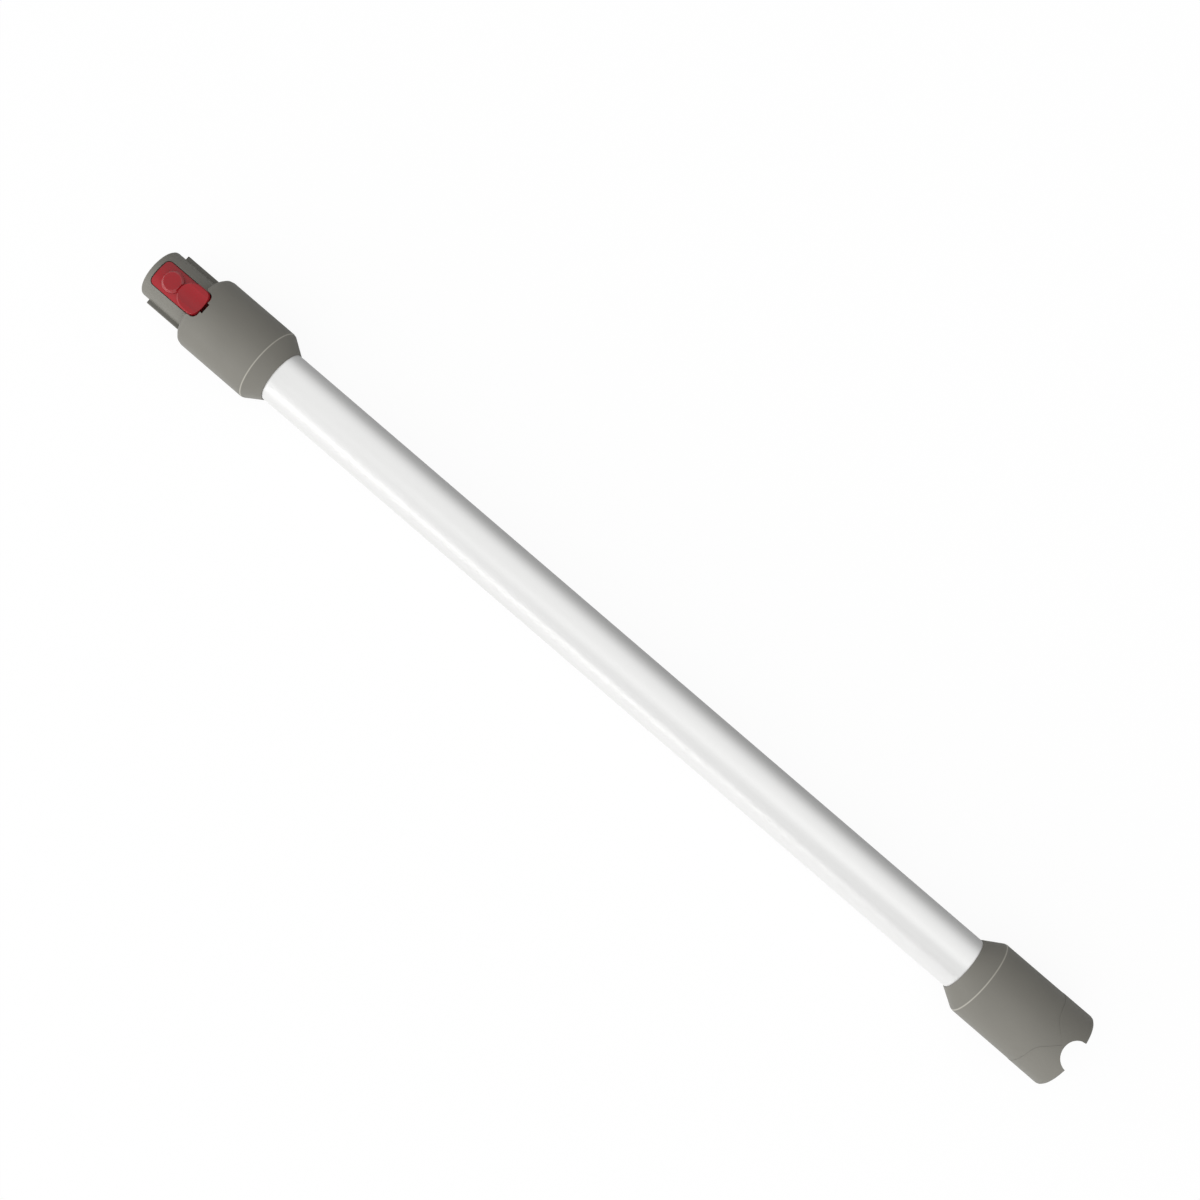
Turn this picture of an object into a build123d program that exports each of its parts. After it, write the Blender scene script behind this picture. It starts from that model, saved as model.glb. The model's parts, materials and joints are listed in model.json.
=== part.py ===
from build123d import *
from math import cos, radians, sin, sqrt
import os

# Quick-release extension wand of a stick vacuum, lying along X with its release button up.
# The spigot that plugs into the machine is at -X and the socket for the tool is at +X.
# Stations are distances from the spigot's tip. Heights and radii are taken from the wand's axis.

# Lengths along the wand
SPIGOT_LENGTH = 36.0
UPPER_COLLAR_LENGTH = 54.0
UPPER_TAPER_LENGTH = 11.0
BARE_TUBE_LENGTH = 544.0
LOWER_TAPER_LENGTH = 11.8
TUBE_GRIP_LENGTH = 38.0
SLEEVE_LENGTH = 29.0
SOCKET_REAR_WALL = 1.5

# Tube
TUBE_OD = 35.0
TUBE_WALL = 1.0
TUBE_FIT = 0.1

# Collar shells
UPPER_COLLAR_OD = 50.4
LOWER_COLLAR_OD = 51.0
COLLAR_BORE = 45.2
COLLAR_LIP = 0.5
COLLAR_NECK_SETBACK = 1.5
SHOULDER_EDGE = 0.7
FRONT_ROUND = 4.4
FRONT_WALL = 4.0
END_ROUND = 2.0
END_SETBACK = 0.3
ROUND_STEPS = 3
FLANGE_FIT = 0.1
FLANGE_LENGTH = 3.0

# End band and thumb notch of the lower collar
BAND_LENGTH = 22.3
BAND_STEP = 0.15
NOTCH_R = 9.9
NOTCH_WALL = 1.8
RELIEF_SETBACK = 1.6
RELIEF_HALF_WIDTH = 11.1
RELIEF_ROUND = 10.0

# Spigot and socket
SPIGOT_OD = 33.6
SPIGOT_WALL = 2.2
SPIGOT_TIP_ROUND = 1.4
SLEEVE_FIT = 0.05
SLEEVE_WALL = 1.85
STOP_RING_LENGTH = 3.0
GUIDE_RIB_START = 6.7
GUIDE_RIB_HEIGHT = 2.6
GUIDE_RIB_WIDTH = 3.2
GUIDE_RIB_EDGE = 0.5
SOCKET_MOUTH_LENGTH = 24.0
SOCKET_MOUTH_CLEARANCE = 0.5
SOCKET_SEAT_CLEARANCE = 0.2
SOCKET_WALL = 2.6
SOCKET_LEAD = 0.8
GROOVE_CLEARANCE = 0.4
GROOVE_WALL = 1.9
CATCH_CLEARANCE = 0.6
LINER_GAP = 0.3

# Snap lugs that hold the mouldings in the tube
LUG_SETBACK = 15.0
LUG_R = 2.8
LUG_CLEARANCE = 0.2
LUG_HEIGHT = 0.8

# Release button and its bay
BUTTON_LENGTH = 38.3
BUTTON_OVERLAP = 6.8
BUTTON_WIDTH = 18.0
BUTTON_FRONT_CORNER = 2.8
BUTTON_REAR_CORNER = 4.0
BUTTON_SIDE_GAP = 0.4
BUTTON_FRONT_GAP = 0.6
BUTTON_SINK = 0.25
BUTTON_WALL = 1.9
BUTTON_TRAVEL_ROOM = 4.6
BAY_DEPTH = 7.7
BAY_FLOOR = 1.4
BAY_WALL = 1.6
BAY_RAMP = 7.0
WINDOW_GAP = 1.6
WINDOW_MOUTH_SHARE = 0.9
WINDOW_SLOT_DEPTH = 1.6
WINDOW_SLOT_WIDTH = 7.0
CATCH_SETBACK = 19.6
CATCH_R = 7.1
CATCH_HEIGHT = 1.8
CATCH_EDGE = 1.5
PAD_SETBACK = 2.4
PAD_R = 9.0
PAD_SINK = 1.9
PAD_THICKNESS = 3.0
PAD_EDGE = 0.8
DISH_R = 22.0
DISH_DEPTH = 0.8
STOP_LIP_LENGTH = 4.2
STOP_LIP_WIDTH = 3.5
STOP_LIP_SPACING = 11.3
STOP_LIP_THICKNESS = 2.2
STOP_LIP_CLEARANCE = 0.4
STOP_LIP_SWING = 1.8
PIVOT_INSET = 2.7
PIVOT_DEPTH = 5.2
PIVOT_R = 1.0
PIVOT_RUNNING = 0.05
PIVOT_SKIN = 0.5
KNUCKLE_R = 2.0

# Button spring
SPRING_SETBACK = 2.0
SPRING_MEAN_R = 2.7
SPRING_WIRE = 0.7
SPRING_TURNS = 4.5
SPRING_WIRE_SIDES = 4
SPRING_POST_HEIGHT = 1.6
SPRING_POST_GAP = 0.5

# Electrical line along the floor of the airway
LEAD_SPACING = 9.0
LEAD_R = 1.2
LEAD_RISE = 3.0
CHANNEL_HEADROOM = 2.2
CHANNEL_WALL = 1.2
FLOOR_ROOT = 0.4
BLOCK_FIT = 0.1
SEAT_FIT = 0.02
PLUG_PIN_R = 0.9
PLUG_PIN_SETBACK = 4.5
PLUG_PIN_END = 0.4
PLUG_CARRIER_START = 14.0
PLUG_CARRIER_LENGTH = 10.0
PLUG_TAIL = 2.0
SOCKET_BLOCK_REACH = 9.5
SOCKET_BLOCK_CLEARANCE = 0.5
SOCKET_BLOCK_REAR = 8.0
CONTACT_R = 1.15
CONTACT_RUNNING = 0.05
CONTACT_RECESS = 0.5
CONTACT_DEPTH = 13.0
GROMMET_LENGTH = 6.0
DUCT_WALL = 1.2
DUCT_END_GAP = 0.3

# Rubber seals
TUBE_SEAL_LENGTH = 1.5
TUBE_SEAL_PROUD = 0.8
SOCKET_SEAL_LENGTH = 1.0
SOCKET_SEAL_FIT = 0.05

# Stations worked out from the lengths
COLLAR_FRONT = SPIGOT_LENGTH
UPPER_TAPER_START = COLLAR_FRONT + UPPER_COLLAR_LENGTH
UPPER_JUNCTION = UPPER_TAPER_START + UPPER_TAPER_LENGTH
LOWER_JUNCTION = UPPER_JUNCTION + BARE_TUBE_LENGTH
LOWER_TAPER_END = LOWER_JUNCTION + LOWER_TAPER_LENGTH
TUBE_START = UPPER_JUNCTION - TUBE_GRIP_LENGTH
TUBE_END = LOWER_JUNCTION + TUBE_GRIP_LENGTH
UPPER_SLEEVE_END = TUBE_START + SLEEVE_LENGTH
LOWER_SLEEVE_END = TUBE_END - SLEEVE_LENGTH
UPPER_STOP = TUBE_START - TUBE_SEAL_LENGTH
LOWER_STOP = TUBE_END + TUBE_SEAL_LENGTH
SOCKET_FLOOR = LOWER_STOP + SOCKET_REAR_WALL
TOTAL_LENGTH = SOCKET_FLOOR + SOCKET_SEAL_LENGTH + SPIGOT_LENGTH
UPPER_LUG = TUBE_START + LUG_SETBACK
LOWER_LUG = TUBE_END - LUG_SETBACK
SOCKET_STEP = TOTAL_LENGTH - SOCKET_MOUTH_LENGTH
BUTTON_REAR = COLLAR_FRONT + BUTTON_OVERLAP
BUTTON_FRONT = BUTTON_REAR - BUTTON_LENGTH
CATCH_STATION = COLLAR_FRONT - CATCH_SETBACK
PAD_STATION = COLLAR_FRONT - PAD_SETBACK
SPRING_STATION = PAD_STATION - SPRING_SETBACK
PIVOT_STATION = BUTTON_FRONT + PIVOT_INSET
BAY_START = BUTTON_FRONT - BUTTON_FRONT_GAP
BAY_END = BUTTON_REAR + STOP_LIP_LENGTH + STOP_LIP_SWING
WINDOW_END = BUTTON_REAR + WINDOW_GAP
POCKET_STATION = TOTAL_LENGTH - CATCH_SETBACK

# Radii and heights worked out from the sizes
UPPER_COLLAR_R = UPPER_COLLAR_OD / 2
LOWER_COLLAR_R = LOWER_COLLAR_OD / 2
LOWER_BODY_R = LOWER_COLLAR_R - BAND_STEP
SHELL_BORE_R = COLLAR_BORE / 2
FLANGE_R = SHELL_BORE_R - FLANGE_FIT
TUBE_R = TUBE_OD / 2
TUBE_BORE_R = TUBE_R - TUBE_WALL
NECK_R = TUBE_R + TUBE_FIT
SPIGOT_R = SPIGOT_OD / 2
NOSE_BORE_R = SPIGOT_R + FLANGE_FIT
SLEEVE_R = TUBE_BORE_R - SLEEVE_FIT
AIRWAY_R = min(SPIGOT_R - SPIGOT_WALL, SLEEVE_R - SLEEVE_WALL)
GUIDE_RIB_R = SPIGOT_R + GUIDE_RIB_HEIGHT
SOCKET_MOUTH_R = SPIGOT_R + SOCKET_MOUTH_CLEARANCE
SOCKET_SEAT_R = SPIGOT_R + SOCKET_SEAT_CLEARANCE
LINER_R = SOCKET_MOUTH_R + SOCKET_WALL
LINER_REACH = SHELL_BORE_R - LINER_GAP
BAY_FLOOR_Z = SPIGOT_R - BAY_DEPTH
BAY_CEILING_Z = BAY_FLOOR_Z - BAY_FLOOR
BAY_WIDTH = BUTTON_WIDTH + 2 * BUTTON_SIDE_GAP
PIVOT_Z = SPIGOT_R - PIVOT_DEPTH
CATCH_TOP_Z = SPIGOT_R + CATCH_HEIGHT
POCKET_R = CATCH_R + CATCH_CLEARANCE
POCKET_TOP_Z = CATCH_TOP_Z + CATCH_CLEARANCE
PAD_TOP_Z = UPPER_COLLAR_R - PAD_SINK
PAD_UNDER_Z = PAD_TOP_Z - DISH_DEPTH - PAD_THICKNESS
STOP_LIP_REACH = (STOP_LIP_SPACING + STOP_LIP_WIDTH) / 2
STOP_LIP_TOP_Z = sqrt(SHELL_BORE_R**2 - STOP_LIP_REACH**2) - STOP_LIP_CLEARANCE
LEAD_Z = LEAD_RISE - AIRWAY_R
CHANNEL_TOP_Z = LEAD_Z + CHANNEL_HEADROOM
CHANNEL_FLOOR_Z = CHANNEL_TOP_Z + CHANNEL_WALL
LEAD_PLACES = [(-LEAD_SPACING / 2, LEAD_Z), (LEAD_SPACING / 2, LEAD_Z)]
AXIS_HEIGHT = LOWER_COLLAR_R
FAR = 2 * LOWER_COLLAR_OD

WAND_AXIS = Axis((0, 0, AXIS_HEIGHT), (1, 0, 0))


def cross_section(station):
    """Plane across the wand: sketch x to the side, sketch y up, facing the socket end."""
    return Plane(origin=(station - TOTAL_LENGTH / 2, 0, AXIS_HEIGHT), x_dir=(0, 1, 0), z_dir=(1, 0, 0))


def plan_view(height):
    """Level plane: sketch x is the station, sketch y to the side, facing up."""
    return Plane(origin=(-TOTAL_LENGTH / 2, 0, AXIS_HEIGHT + height), x_dir=(1, 0, 0), z_dir=(0, 0, 1))


# Upright plane through the axis: sketch x is the station, sketch y the height or the radius
SIDE_VIEW = Plane(origin=(-TOTAL_LENGTH / 2, 0, AXIS_HEIGHT), x_dir=(1, 0, 0), z_dir=(0, -1, 0))


def quarter_round(start, end):
    """Points of a quarter round that leaves its start along the wand and meets its end across it."""
    turns = [radians(90 * step / ROUND_STEPS) for step in range(ROUND_STEPS + 1)]
    return [
        (start[0] + (end[0] - start[0]) * sin(turn), end[1] + (start[1] - end[1]) * cos(turn))
        for turn in turns
    ]


def round_section(station, radius):
    """Full disc across the wand."""
    with BuildSketch(cross_section(station)) as section:
        Circle(radius)
    return section.sketch


def ring_section(station, outer_radius, inner_radius):
    """Ring across the wand."""
    with BuildSketch(cross_section(station)) as section:
        Circle(outer_radius)
        Circle(inner_radius, mode=Mode.SUBTRACT)
    return section.sketch


def channel_section(station, radius, top):
    """The part of a disc that lies below a level chord."""
    with BuildSketch(cross_section(station)) as section:
        Circle(radius)
        with Locations((0, top)):
            Rectangle(FAR, FAR, align=(Align.CENTER, Align.MIN), mode=Mode.SUBTRACT)
    return section.sketch


def floor_section(station, radius):
    """The level wall that parts the airway from the channel of the leads."""
    with BuildSketch(cross_section(station)) as section:
        Circle(radius)
        with Locations((0, CHANNEL_TOP_Z)):
            Rectangle(FAR, CHANNEL_WALL, align=(Align.CENTER, Align.MIN), mode=Mode.INTERSECT)
    return section.sketch


def lead_section(station, radius):
    """Discs at the two leads."""
    with BuildSketch(cross_section(station)) as section:
        with Locations(*LEAD_PLACES):
            Circle(radius)
    return section.sketch


def lug_section(station, radius):
    """Disc on the flank of the tube, seen from the side."""
    with BuildSketch(SIDE_VIEW) as section:
        with Locations((station, 0)):
            Circle(radius)
    return section.sketch


def guide_rib_section(station, half_width, reach, edge):
    """Pair of ribs across the wand, one on each flank, with bevelled outer corners."""
    with BuildSketch(cross_section(station)) as section:
        Rectangle(2 * reach, 2 * half_width)
        if edge:
            chamfer(section.vertices(), edge)
    return section.sketch


def button_outline(clearance):
    """Plan of the button, wide corners at the rear, grown all round by a clearance."""
    with BuildSketch(plan_view(0)) as outline:
        with Locations((BUTTON_FRONT - clearance, 0)):
            Rectangle(
                BUTTON_LENGTH + 2 * clearance,
                BUTTON_WIDTH + 2 * clearance,
                align=(Align.MIN, Align.CENTER),
            )
        fillet(outline.vertices().group_by(Axis.X)[-1], BUTTON_REAR_CORNER + clearance)
        fillet(outline.vertices().group_by(Axis.X)[0], BUTTON_FRONT_CORNER + clearance)
    return outline.sketch


def notch_section(radius):
    """Disc at the end of the socket, seen from above."""
    with BuildSketch(plan_view(0)) as section:
        with Locations((TOTAL_LENGTH, 0)):
            Circle(radius)
    return section.sketch


# Aluminium tube with a pair of snap holes at each end
with BuildPart() as wand_tube:
    extrude(ring_section(TUBE_START, TUBE_R, TUBE_BORE_R), amount=TUBE_END - TUBE_START)
    for lug_station in (UPPER_LUG, LOWER_LUG):
        hole = lug_section(lug_station, LUG_R + LUG_CLEARANCE)
        extrude(hole, amount=TUBE_R, both=True, mode=Mode.SUBTRACT)

# Upper collar: turned shell, closed and rounded at the front, tapered to the tube
with BuildPart() as upper_collar:
    with BuildSketch(SIDE_VIEW) as profile:
        with BuildLine():
            front_wall = COLLAR_FRONT + FRONT_WALL
            neck_end = UPPER_TAPER_START + COLLAR_NECK_SETBACK
            Polyline(
                (COLLAR_FRONT, NOSE_BORE_R),
                (front_wall, NOSE_BORE_R),
                (front_wall, SHELL_BORE_R),
                (neck_end, SHELL_BORE_R),
                (neck_end, NECK_R),
                (UPPER_JUNCTION, NECK_R),
                (UPPER_JUNCTION, NECK_R + COLLAR_LIP),
                (UPPER_TAPER_START, UPPER_COLLAR_R),
                *quarter_round(
                    (COLLAR_FRONT + FRONT_ROUND, UPPER_COLLAR_R),
                    (COLLAR_FRONT, UPPER_COLLAR_R - FRONT_ROUND),
                ),
                close=True,
            )
        make_face()
        chamfer(profile.vertices().sort_by_distance((UPPER_TAPER_START, UPPER_COLLAR_R))[0], SHOULDER_EDGE)
    revolve(axis=WAND_AXIS)
    with BuildSketch(plan_view(0)) as window:
        with Locations((COLLAR_FRONT, 0)):
            Rectangle(COLLAR_FRONT, UPPER_COLLAR_OD, align=(Align.MAX, Align.CENTER))
            Rectangle(WINDOW_END - COLLAR_FRONT, BAY_WIDTH, align=(Align.MIN, Align.CENTER))
        window_corner = BUTTON_REAR_CORNER + BUTTON_SIDE_GAP
        fillet(window.vertices().group_by(Axis.X)[-1], window_corner)
        mouth = window.vertices().group_by(Axis.X)[1].sort_by(Axis.Y)[1:-1]
        fillet(mouth, WINDOW_MOUTH_SHARE * (WINDOW_END - window_corner - COLLAR_FRONT))
        with Locations((WINDOW_END, 0)):
            Rectangle(2 * WINDOW_SLOT_DEPTH, WINDOW_SLOT_WIDTH)
    extrude(amount=FAR, mode=Mode.SUBTRACT)

# Core of the button bay, a block in the roof of the airway with a ramp behind it
with BuildPart() as bay_core:
    extrude(round_section(0, AIRWAY_R + FLOOR_ROOT), amount=UPPER_STOP)
    with BuildSketch(SIDE_VIEW):
        with BuildLine():
            bay_back = BAY_END + BAY_WALL
            Polyline(
                (0, BAY_CEILING_Z),
                (bay_back, BAY_CEILING_Z),
                (bay_back + BAY_RAMP, SPIGOT_R),
                (0, SPIGOT_R),
                close=True,
            )
        make_face()
    extrude(amount=UPPER_COLLAR_R, both=True, mode=Mode.INTERSECT)

# Walls of the bay where it rises through the collar
with BuildPart() as bay_walls:
    bay_walls_start = front_wall + FLANGE_FIT
    extrude(round_section(bay_walls_start, FLANGE_R), amount=BAY_END + BAY_WALL - bay_walls_start)
    with BuildSketch(plan_view(BAY_CEILING_Z)):
        with Locations((COLLAR_FRONT, 0)):
            Rectangle(FAR, BAY_WIDTH + 2 * BAY_WALL, align=(Align.MIN, Align.CENTER))
    extrude(amount=UPPER_COLLAR_R, mode=Mode.INTERSECT)

# Spigot moulding: nose with its guide ribs, tube stop and sleeve in the tube
with BuildPart() as upper_spigot:
    with BuildSketch(SIDE_VIEW):
        with BuildLine():
            Polyline(
                *quarter_round((SPIGOT_TIP_ROUND, SPIGOT_R), (0, SPIGOT_R - SPIGOT_TIP_ROUND)),
                (0, 0),
                (UPPER_SLEEVE_END, 0),
                (UPPER_SLEEVE_END, SLEEVE_R),
                (UPPER_STOP, SLEEVE_R),
                (UPPER_STOP, FLANGE_R),
                (UPPER_STOP - STOP_RING_LENGTH, FLANGE_R),
                (UPPER_STOP - STOP_RING_LENGTH, SPIGOT_R),
                close=True,
            )
        make_face()
    revolve(axis=WAND_AXIS)
    add(bay_walls.part)
    guide_ribs = guide_rib_section(GUIDE_RIB_START, GUIDE_RIB_WIDTH / 2, GUIDE_RIB_R, GUIDE_RIB_EDGE)
    extrude(guide_ribs, amount=COLLAR_FRONT - FLANGE_FIT - GUIDE_RIB_START)
    for flank in (Plane.XZ, -Plane.XZ):
        lug = lug_section(UPPER_LUG, LUG_R)
        extrude(lug, amount=SLEEVE_R + LUG_HEIGHT, dir=flank.z_dir)
    extrude(round_section(0, AIRWAY_R), amount=UPPER_SLEEVE_END, mode=Mode.SUBTRACT)
    add(bay_core.part)
    extrude(floor_section(0, AIRWAY_R + FLOOR_ROOT), amount=UPPER_SLEEVE_END)
    with BuildSketch(plan_view(BAY_FLOOR_Z)) as bay:
        with Locations((BAY_START, 0)):
            Rectangle(BAY_END - BAY_START, BAY_WIDTH, align=(Align.MIN, Align.CENTER))
        fillet(bay.vertices().group_by(Axis.X)[0], BUTTON_FRONT_CORNER + BUTTON_SIDE_GAP)
    extrude(amount=FAR, mode=Mode.SUBTRACT)
    pin_reach = sqrt(SPIGOT_R**2 - (PIVOT_Z + PIVOT_R) ** 2) - PIVOT_SKIN
    with BuildSketch(SIDE_VIEW.offset(pin_reach)):
        with Locations((PIVOT_STATION, PIVOT_Z)):
            Circle(PIVOT_R)
    extrude(amount=-2 * pin_reach, mode=Mode.SUBTRACT)
    with BuildSketch(plan_view(BAY_FLOOR_Z)):
        with Locations((SPRING_STATION, 0)):
            Circle(SPRING_MEAN_R - SPRING_WIRE / 2 - SPRING_POST_GAP)
    extrude(amount=SPRING_POST_HEIGHT)

# Steel pin through the front of the button, held below the skin of the spigot's flanks
with BuildPart() as button_pivot_pin:
    with BuildSketch(SIDE_VIEW.offset(pin_reach)):
        with Locations((PIVOT_STATION, PIVOT_Z)):
            Circle(PIVOT_R)
    extrude(amount=-2 * pin_reach)

# Base of the button: its outline, level with the spigot in front and sloped underneath for its travel
with BuildPart() as button_base:
    extrude(button_outline(0), amount=UPPER_COLLAR_R)
    with BuildSketch(SIDE_VIEW):
        with BuildLine():
            knuckle_rear = PIVOT_STATION + KNUCKLE_R
            Polyline(
                (BUTTON_FRONT, PIVOT_Z - KNUCKLE_R),
                (knuckle_rear, PIVOT_Z - KNUCKLE_R),
                (BUTTON_REAR, BAY_FLOOR_Z + BUTTON_TRAVEL_ROOM),
                (BUTTON_REAR, UPPER_COLLAR_R),
                (BUTTON_FRONT, UPPER_COLLAR_R),
                close=True,
            )
        make_face()
    extrude(amount=UPPER_COLLAR_R, both=True, mode=Mode.INTERSECT)
    extrude(round_section(0, SPIGOT_R - BUTTON_SINK), amount=BUTTON_REAR, mode=Mode.INTERSECT)

# Round catch in front, turned about an upright axis, with a rounded rim
with BuildPart() as button_catch:
    with BuildSketch(SIDE_VIEW):
        with BuildLine():
            catch_rim = CATCH_STATION + CATCH_R
            Polyline(
                (CATCH_STATION, PIVOT_Z),
                (CATCH_STATION, CATCH_TOP_Z),
                *quarter_round((catch_rim - CATCH_EDGE, CATCH_TOP_Z), (catch_rim, CATCH_TOP_Z - CATCH_EDGE)),
                (catch_rim, PIVOT_Z),
                close=True,
            )
        make_face()
    revolve(axis=Axis(SIDE_VIEW.from_local_coords((CATCH_STATION, 0, 0)), (0, 0, 1)))

# Thumb pad behind, round towards the catch
with BuildPart() as button_pad:
    extrude(button_outline(0), amount=PAD_TOP_Z)
    with BuildSketch(plan_view(0)):
        with Locations((PAD_STATION, 0)):
            Circle(PAD_R)
        with Locations((PAD_STATION, 0)):
            Rectangle(BUTTON_LENGTH, 2 * PAD_R, align=(Align.MIN, Align.CENTER))
    extrude(amount=FAR, mode=Mode.INTERSECT)
    with BuildSketch(plan_view(0)):
        with Locations((PAD_STATION, 0)):
            Circle(FAR)
    extrude(amount=BAY_FLOOR_Z + BUTTON_TRAVEL_ROOM, mode=Mode.SUBTRACT)
    chamfer(button_pad.edges().group_by(Axis.Z)[-1], PAD_EDGE)

# Button: base, catch and dished pad in one moulding, hollow below, with its knuckle bore and stop lips
with BuildPart() as release_button:
    add(button_base.part)
    add(button_catch.part)
    add(button_pad.part)
    with BuildSketch(plan_view(STOP_LIP_TOP_Z)):
        lip_start = BUTTON_REAR - BUTTON_REAR_CORNER
        with Locations((lip_start, -STOP_LIP_SPACING / 2), (lip_start, STOP_LIP_SPACING / 2)):
            Rectangle(
                BUTTON_REAR_CORNER + STOP_LIP_LENGTH,
                STOP_LIP_WIDTH,
                align=(Align.MIN, Align.CENTER),
            )
    extrude(amount=-STOP_LIP_THICKNESS)
    with BuildSketch(SIDE_VIEW):
        with Locations((PIVOT_STATION, PIVOT_Z)):
            Circle(PIVOT_R + PIVOT_RUNNING)
    extrude(amount=BUTTON_WIDTH, both=True, mode=Mode.SUBTRACT)
    with BuildSketch(cross_section(PAD_STATION - PAD_R)):
        with Locations((0, PAD_TOP_Z - DISH_DEPTH + DISH_R)):
            Circle(DISH_R)
    extrude(amount=BUTTON_LENGTH, mode=Mode.SUBTRACT)
    with BuildSketch(plan_view(0)):
        with Locations((PAD_STATION - PAD_R + BUTTON_WALL, 0)):
            Rectangle(
                BUTTON_REAR - PAD_STATION + PAD_R - 2 * BUTTON_WALL,
                BUTTON_WIDTH - 2 * BUTTON_WALL,
                align=(Align.MIN, Align.CENTER),
            )
    extrude(amount=PAD_UNDER_Z, mode=Mode.SUBTRACT)

# Coil spring between the floor of the bay and the underside of the pad
with BuildPart() as button_spring:
    spring_height = PAD_UNDER_Z - BAY_FLOOR_Z - SPRING_WIRE
    spring_foot = plan_view(BAY_FLOOR_Z + SPRING_WIRE / 2)
    with BuildLine(Plane(spring_foot.from_local_coords((SPRING_STATION, 0, 0)))) as coil:
        Helix(pitch=spring_height / SPRING_TURNS, height=spring_height, radius=SPRING_MEAN_R)
    with BuildSketch(Plane(origin=coil.line @ 0, z_dir=coil.line % 0)):
        RegularPolygon(SPRING_WIRE / 2, SPRING_WIRE_SIDES)
    sweep(is_frenet=True)

# Shallow relief in the end band that leads the thumb to the notch
with BuildPart() as thumb_relief:
    band_start = TOTAL_LENGTH - BAND_LENGTH
    with BuildSketch(plan_view(0)) as relief:
        with BuildLine():
            relief_tip = TOTAL_LENGTH - NOTCH_R - RELIEF_SETBACK
            Polyline(
                (band_start, -RELIEF_HALF_WIDTH),
                (relief_tip, 0),
                (band_start, RELIEF_HALF_WIDTH),
                close=True,
            )
        make_face()
        with Locations((band_start, 0)):
            Rectangle(BAND_LENGTH, LOWER_COLLAR_OD, align=(Align.MAX, Align.CENTER))
        swoop = relief.vertices().group_by(Axis.X)[1].sort_by(Axis.Y)[1:-1]
        fillet(swoop, RELIEF_ROUND)
    extrude(amount=FAR)
    extrude(round_section(0, LOWER_BODY_R), amount=TOTAL_LENGTH, mode=Mode.SUBTRACT)

# Lower collar: tapered shell with the raised end band, its relief and the half-round notch
with BuildPart() as lower_collar:
    with BuildSketch(SIDE_VIEW) as profile:
        with BuildLine():
            neck_end = LOWER_TAPER_END - COLLAR_NECK_SETBACK
            end_face = TOTAL_LENGTH - END_SETBACK
            Polyline(
                (band_start, LOWER_COLLAR_R),
                *quarter_round(
                    (end_face - END_ROUND, LOWER_COLLAR_R), (end_face, LOWER_COLLAR_R - END_ROUND)
                ),
                (end_face, SHELL_BORE_R),
                (neck_end, SHELL_BORE_R),
                (neck_end, NECK_R),
                (LOWER_JUNCTION, NECK_R),
                (LOWER_JUNCTION, NECK_R + COLLAR_LIP),
                (LOWER_TAPER_END, LOWER_BODY_R),
                (band_start, LOWER_BODY_R),
                close=True,
            )
        make_face()
        chamfer(profile.vertices().sort_by_distance((LOWER_TAPER_END, LOWER_BODY_R))[0], SHOULDER_EDGE)
    revolve(axis=WAND_AXIS)
    add(thumb_relief.part, mode=Mode.SUBTRACT)
    extrude(notch_section(NOTCH_R), amount=FAR, mode=Mode.SUBTRACT)

# Bosses of the liner round the notch and over the pocket of the catch, inside the shell
with BuildPart() as liner_bosses:
    extrude(notch_section(NOTCH_R + NOTCH_WALL), amount=FAR)
    with BuildSketch(plan_view(0)):
        with Locations((POCKET_STATION, 0)):
            Circle(POCKET_R + NOTCH_WALL)
    extrude(amount=POCKET_TOP_Z + NOTCH_WALL)
    extrude(round_section(LOWER_STOP, LINER_REACH), amount=TOTAL_LENGTH - LOWER_STOP, mode=Mode.INTERSECT)

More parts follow.
